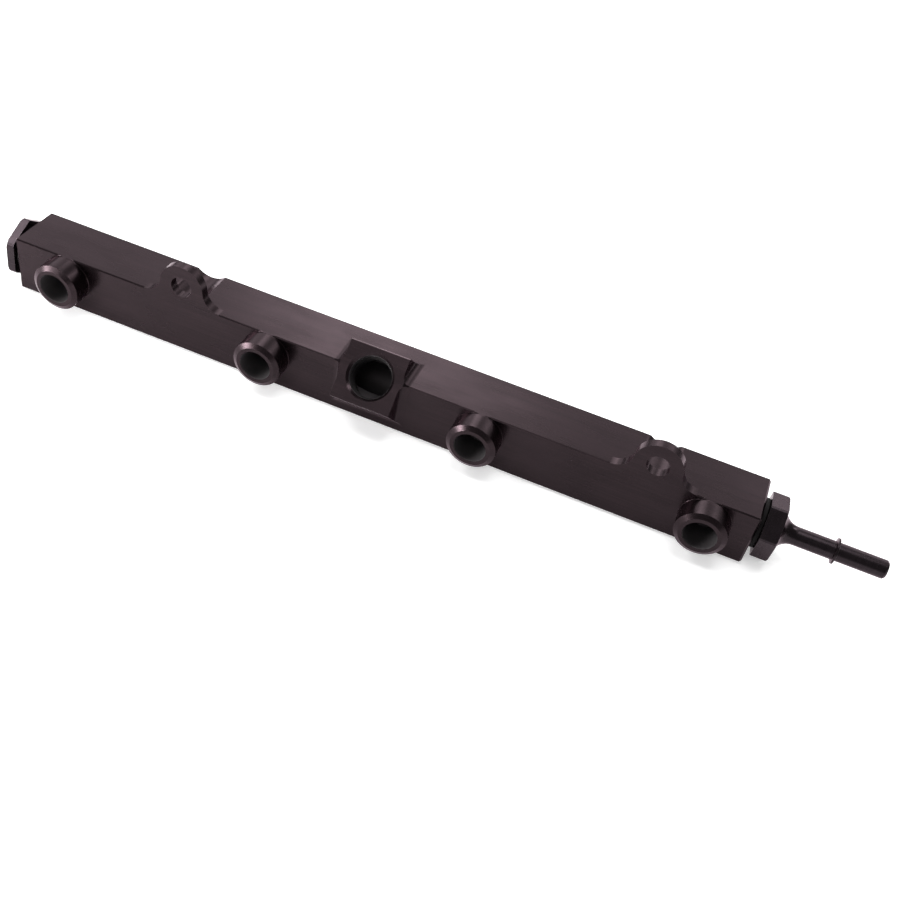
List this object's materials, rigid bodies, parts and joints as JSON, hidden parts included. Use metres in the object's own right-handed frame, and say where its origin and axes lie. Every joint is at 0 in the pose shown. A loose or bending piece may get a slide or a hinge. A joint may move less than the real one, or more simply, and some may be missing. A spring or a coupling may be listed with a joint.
{
  "type": "fuel rail",
  "caption": "Square-bar engine fuel rail with injector cups, bolt ears, an angled threaded block, a hexagonal end plug and a quick-connect inlet spigot.",
  "frame": {"origin": "midway between the two ear holes, on the injector face", "axes": "+X along the rail towards the inlet spigot, -Y out of the injector cups, +Z from the rail towards the ears"},
  "size_m": [0.3919, 0.0368, 0.0432],
  "materials": {
    "rail": "satin dark anodised",
    "fitting": "gloss black anodised",
    "seal": "matte black"
  },
  "bodies": {
    "root": {"rail_body": "rail", "end_plug": "fitting", "inlet_adaptor": "fitting", "plug_seal": "seal", "adaptor_seal": "seal"}
  },
  "joints": []
}
